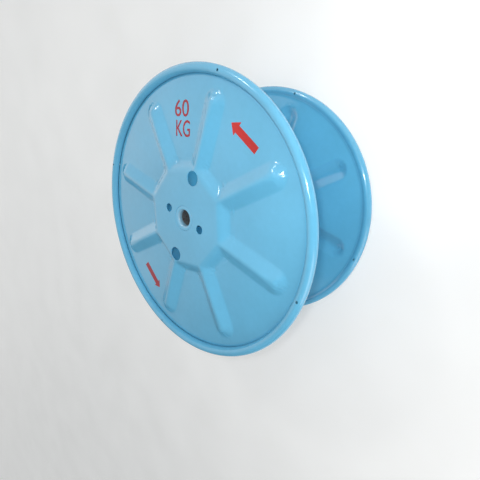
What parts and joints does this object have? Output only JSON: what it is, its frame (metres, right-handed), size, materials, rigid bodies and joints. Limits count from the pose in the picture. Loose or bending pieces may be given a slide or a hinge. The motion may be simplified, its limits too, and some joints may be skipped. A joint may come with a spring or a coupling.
{
  "type": "steel cable drum",
  "caption": "Empty steel cable drum standing on its end: ribbed pressed flanges with rolled rims, a sheet barrel and a central spindle bore.",
  "frame": {"origin": "centre of the drum: on the axis of the spindle bore, midway between the two flanges", "axes": "+Z along the drum's axis, up from the rear flange it stands on to the front flange; +Y towards the side that is up when the drum stands on its rims, +X to the right as seen from the front with +Y up"},
  "size_m": [0.9999, 1, 0.467],
  "materials": {
    "blue_paint": "gloss sky-blue paint on pressed sheet steel",
    "tube_steel": "steel tube, end faces painted blue, bore bare and rusty"
  },
  "bodies": {
    "root": {"front_flange": "blue_paint", "rear_flange": "blue_paint", "barrel": "blue_paint", "centre_tube": "tube_steel"}
  },
  "joints": []
}
